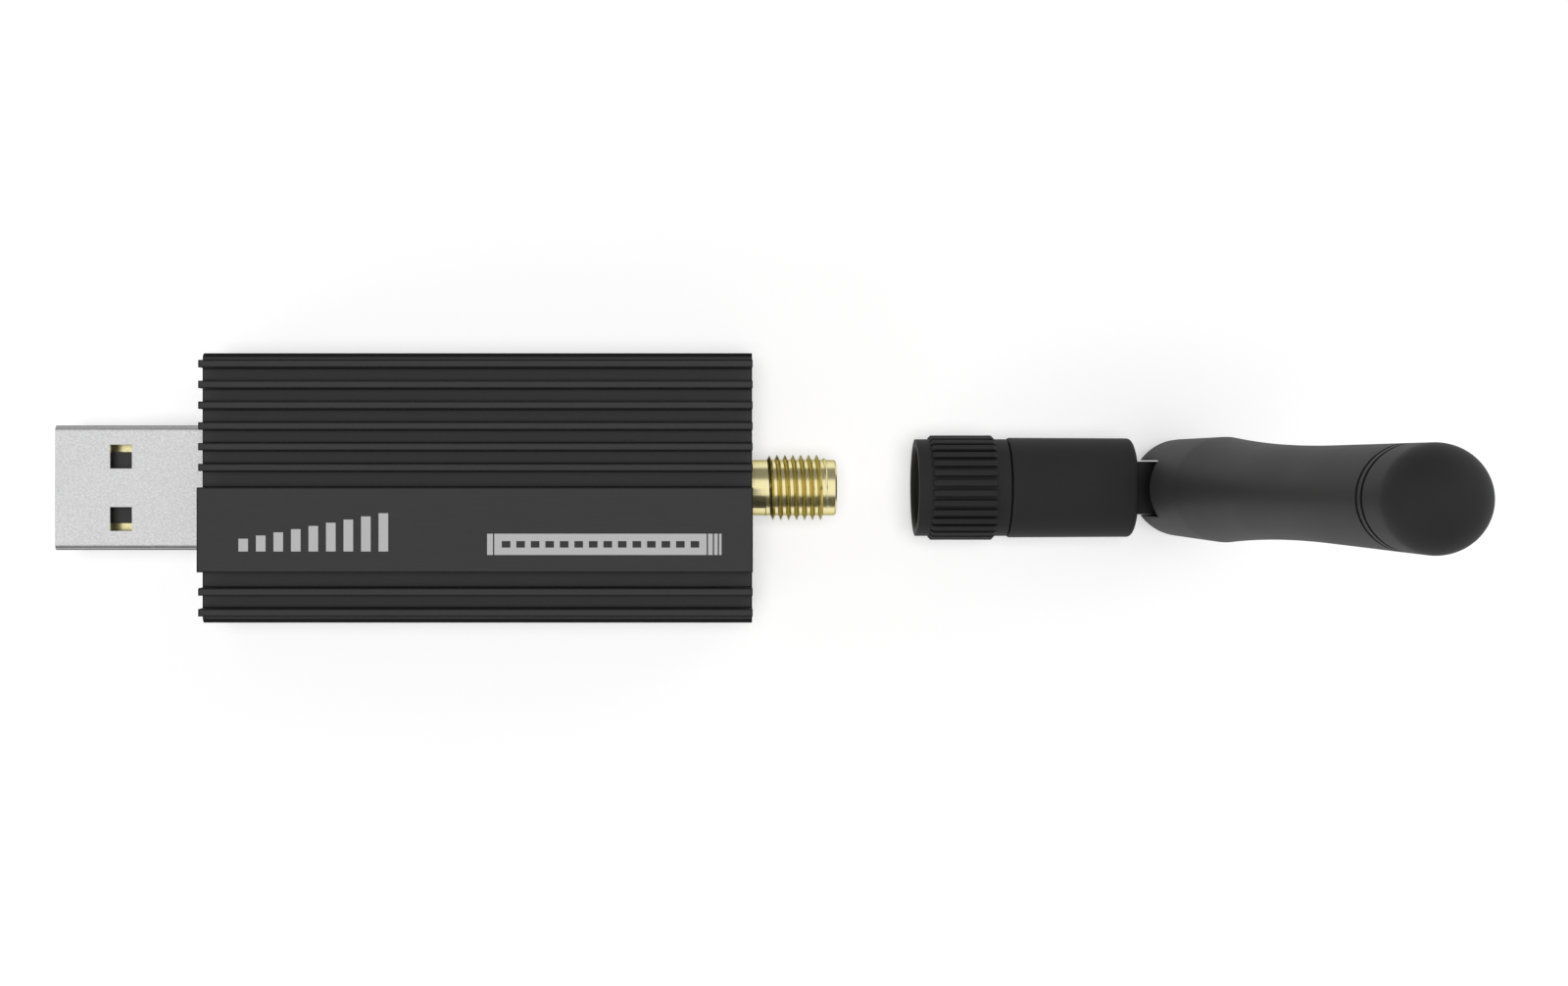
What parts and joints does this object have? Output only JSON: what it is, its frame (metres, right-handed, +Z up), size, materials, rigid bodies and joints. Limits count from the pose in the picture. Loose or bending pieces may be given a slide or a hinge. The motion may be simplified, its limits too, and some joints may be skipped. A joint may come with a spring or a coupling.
{
  "type": "smart home usb radio stick",
  "caption": "Finned black metal stick with a USB plug and a gold threaded socket, and a hinged rod aerial that screws on by a knurled coupling.",
  "frame": {"origin": "centre of the flat band under the case, on the surface that it rests on", "axes": "+X from the plug towards the aerial, +Y across the case, +Z up, away from the resting face"},
  "size_m": [0.1135, 0.0258, 0.0855],
  "materials": {
    "black_aluminium": "black anodised, fine satin",
    "screw_steel": "zinc plated",
    "board_laminate": "green solder mask",
    "chip_black": "moulded package",
    "ceramic_tan": "fired ceramic",
    "ferrite_grey": "wound ferrite",
    "crystal_can": "welded lid",
    "light_lens": "clear epoxy",
    "plug_steel": "nickel plated, fine grain",
    "plug_black": "moulded",
    "contact_gold": "gold plated",
    "socket_gold": "pale gold plated, turned",
    "insulator_white": "waxy white",
    "nut_brass": "gold plated, turned",
    "spring_steel": "bright",
    "pin_steel": "bright",
    "sleeve_black": "satin",
    "mast_black": "soft satin",
    "lead_brown": "smooth",
    "radiator_brass": "drawn",
    "ink_grey": "printed"
  },
  "bodies": {
    "stick": {"case": "black_aluminium", "plug_end_plate": "black_aluminium", "socket_end_plate": "black_aluminium", "plug_end_screws": "screw_steel", "socket_end_screws": "screw_steel", "circuit_board": "board_laminate", "usb_shell": "plug_steel", "plug_moulding": "plug_black", "usb_contacts": "contact_gold", "antenna_socket": "socket_gold", "socket_insulator": "insulator_white", "socket_contact": "contact_gold", "radio_chip": "chip_black", "range_amplifier": "chip_black", "usb_bridge_chip": "chip_black", "voltage_regulator": "chip_black", "surge_guard": "chip_black", "crystals": "crystal_can", "inductors": "ferrite_grey", "capacitors": "ceramic_tan", "resistors": "chip_black", "status_lights": "light_lens", "band_print": "ink_grey"},
    "coupling": {"knurled_sleeve": "sleeve_black", "coupling_nut": "nut_brass", "spring_ring": "spring_steel"},
    "antenna_base": {"connector_body": "nut_brass", "connector_insulator": "insulator_white", "centre_pin": "contact_gold", "barrel": "mast_black", "lead_in_barrel": "lead_brown"},
    "antenna_mast": {"mast": "mast_black", "tip_cap": "mast_black", "hinge_pins": "pin_steel", "radiator_tube": "radiator_brass", "radiator_wire": "radiator_brass", "lead_in_mast": "lead_brown"}
  },
  "joints": [
    {"name": "antenna_unscrew", "type": "slide", "parent": "stick", "child": "coupling", "axis": [1, 0, 0], "range_m": [-0.01505, 0]},
    {"name": "antenna_swivel", "type": "hinge", "parent": "coupling", "child": "antenna_base", "pos_m": [0.05, 0, 0.00675], "axis": [1, 0, 0], "continuous": true},
    {"name": "antenna_tilt", "type": "hinge", "parent": "antenna_base", "child": "antenna_mast", "pos_m": [0.06798, 0, 0.00675], "axis": [0, 1, 0], "range_deg": [0, 90]}
  ]
}
